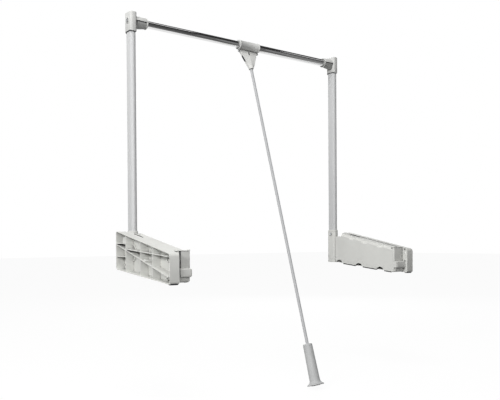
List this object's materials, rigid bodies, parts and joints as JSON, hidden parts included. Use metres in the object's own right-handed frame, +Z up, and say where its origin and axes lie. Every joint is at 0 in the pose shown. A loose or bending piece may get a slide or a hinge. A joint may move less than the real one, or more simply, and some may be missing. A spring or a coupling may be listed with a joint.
{
  "type": "pull down closet rod",
  "caption": "Wardrobe lift: ribbed side wall housings with swinging oval arms, a telescopic chrome hanging bar and a long hinged pull rod with a flared grip",
  "frame": {"origin": "centre of the flat pad on the left housing's wall face", "axes": "X along the bar from the left wall to the right wall, Y to the rear of the closet, Z up"},
  "size_m": [1.042, 0.4046, 1.224],
  "materials": {
    "grey_plastic": "matte moulded",
    "pale_plastic": "satin moulded",
    "silver_paint": "satin silver",
    "chrome_tube": "polished",
    "zinc_steel": "zinc plated",
    "black_rubber": "matte",
    "white_rod": "satin",
    "grip_plastic": "fine matte"
  },
  "bodies": {
    "left_housing": {"left_wall_tray": "grey_plastic", "left_inner_cover": "grey_plastic", "left_upper_cover_screw": "zinc_steel", "left_lower_cover_screw": "zinc_steel", "left_pivot_pin": "zinc_steel", "left_stop_buffer": "black_rubber", "left_spring_cylinder": "zinc_steel"},
    "left_frame": {"left_lever": "zinc_steel", "left_arm_sleeve": "grey_plastic", "left_sleeve_screw": "zinc_steel", "left_lower_rivet": "zinc_steel", "left_upper_rivet": "zinc_steel", "left_arm_tube": "silver_paint", "left_elbow": "pale_plastic", "left_elbow_screw": "zinc_steel", "inner_bar_tube": "chrome_tube"},
    "left_spring_slide": {"left_spring_rod": "zinc_steel"},
    "right_housing": {"right_wall_tray": "grey_plastic", "right_inner_cover": "grey_plastic", "right_upper_cover_screw": "zinc_steel", "right_lower_cover_screw": "zinc_steel", "right_pivot_pin": "zinc_steel", "right_stop_buffer": "black_rubber", "right_spring_cylinder": "zinc_steel"},
    "right_frame": {"right_lever": "zinc_steel", "right_arm_sleeve": "grey_plastic", "right_sleeve_screw": "zinc_steel", "right_lower_rivet": "zinc_steel", "right_upper_rivet": "zinc_steel", "right_arm_tube": "silver_paint", "right_elbow": "pale_plastic", "right_elbow_screw": "zinc_steel", "outer_bar_tube": "chrome_tube", "centre_sleeve": "pale_plastic", "fork_pin": "zinc_steel"},
    "right_spring_slide": {"right_spring_rod": "zinc_steel"},
    "pull_handle": {"pull_fork": "pale_plastic", "pull_rod": "white_rod", "grip": "grip_plastic", "grip_end_cap": "grip_plastic"}
  },
  "joints": [
    {"name": "frame_swing", "type": "hinge", "parent": "left_housing", "child": "left_frame", "pos_m": [0.056, 0.145, 0.06], "axis": [1, 0, 0], "range_deg": [0, 100], "stiffness_Nm_per_rad": 20, "springref_deg": -20.05},
    {"name": "left_strut_pull", "type": "slide", "parent": "left_housing", "child": "left_spring_slide", "axis": [0, 0.9703, 0.2419], "range_m": [0, 0.03983]},
    {"name": "width_adjust", "type": "slide", "parent": "left_housing", "child": "right_housing", "axis": [1, 0, 0], "range_m": [-0.19, 0.06]},
    {"name": "right_frame_swing", "type": "hinge", "parent": "right_housing", "child": "right_frame", "pos_m": [0.986, 0.145, 0.06], "axis": [1, 0, 0], "range_deg": [0, 100]},
    {"name": "right_strut_pull", "type": "slide", "parent": "right_housing", "child": "right_spring_slide", "axis": [0, 0.9703, 0.2419], "range_m": [0, 0.03983]},
    {"name": "pull_rod_swing", "type": "hinge", "parent": "right_frame", "child": "pull_handle", "pos_m": [0.544, 0.205, 0.747], "axis": [1, 0, 0], "range_deg": [-85, 60]}
  ],
  "couplings": [
    {"joint": "right_frame_swing", "follows": "frame_swing", "ratio": 1},
    {"joint": "left_strut_pull", "follows": "frame_swing", "m_per_rad": 0.022823},
    {"joint": "right_strut_pull", "follows": "frame_swing", "m_per_rad": 0.022823}
  ]
}
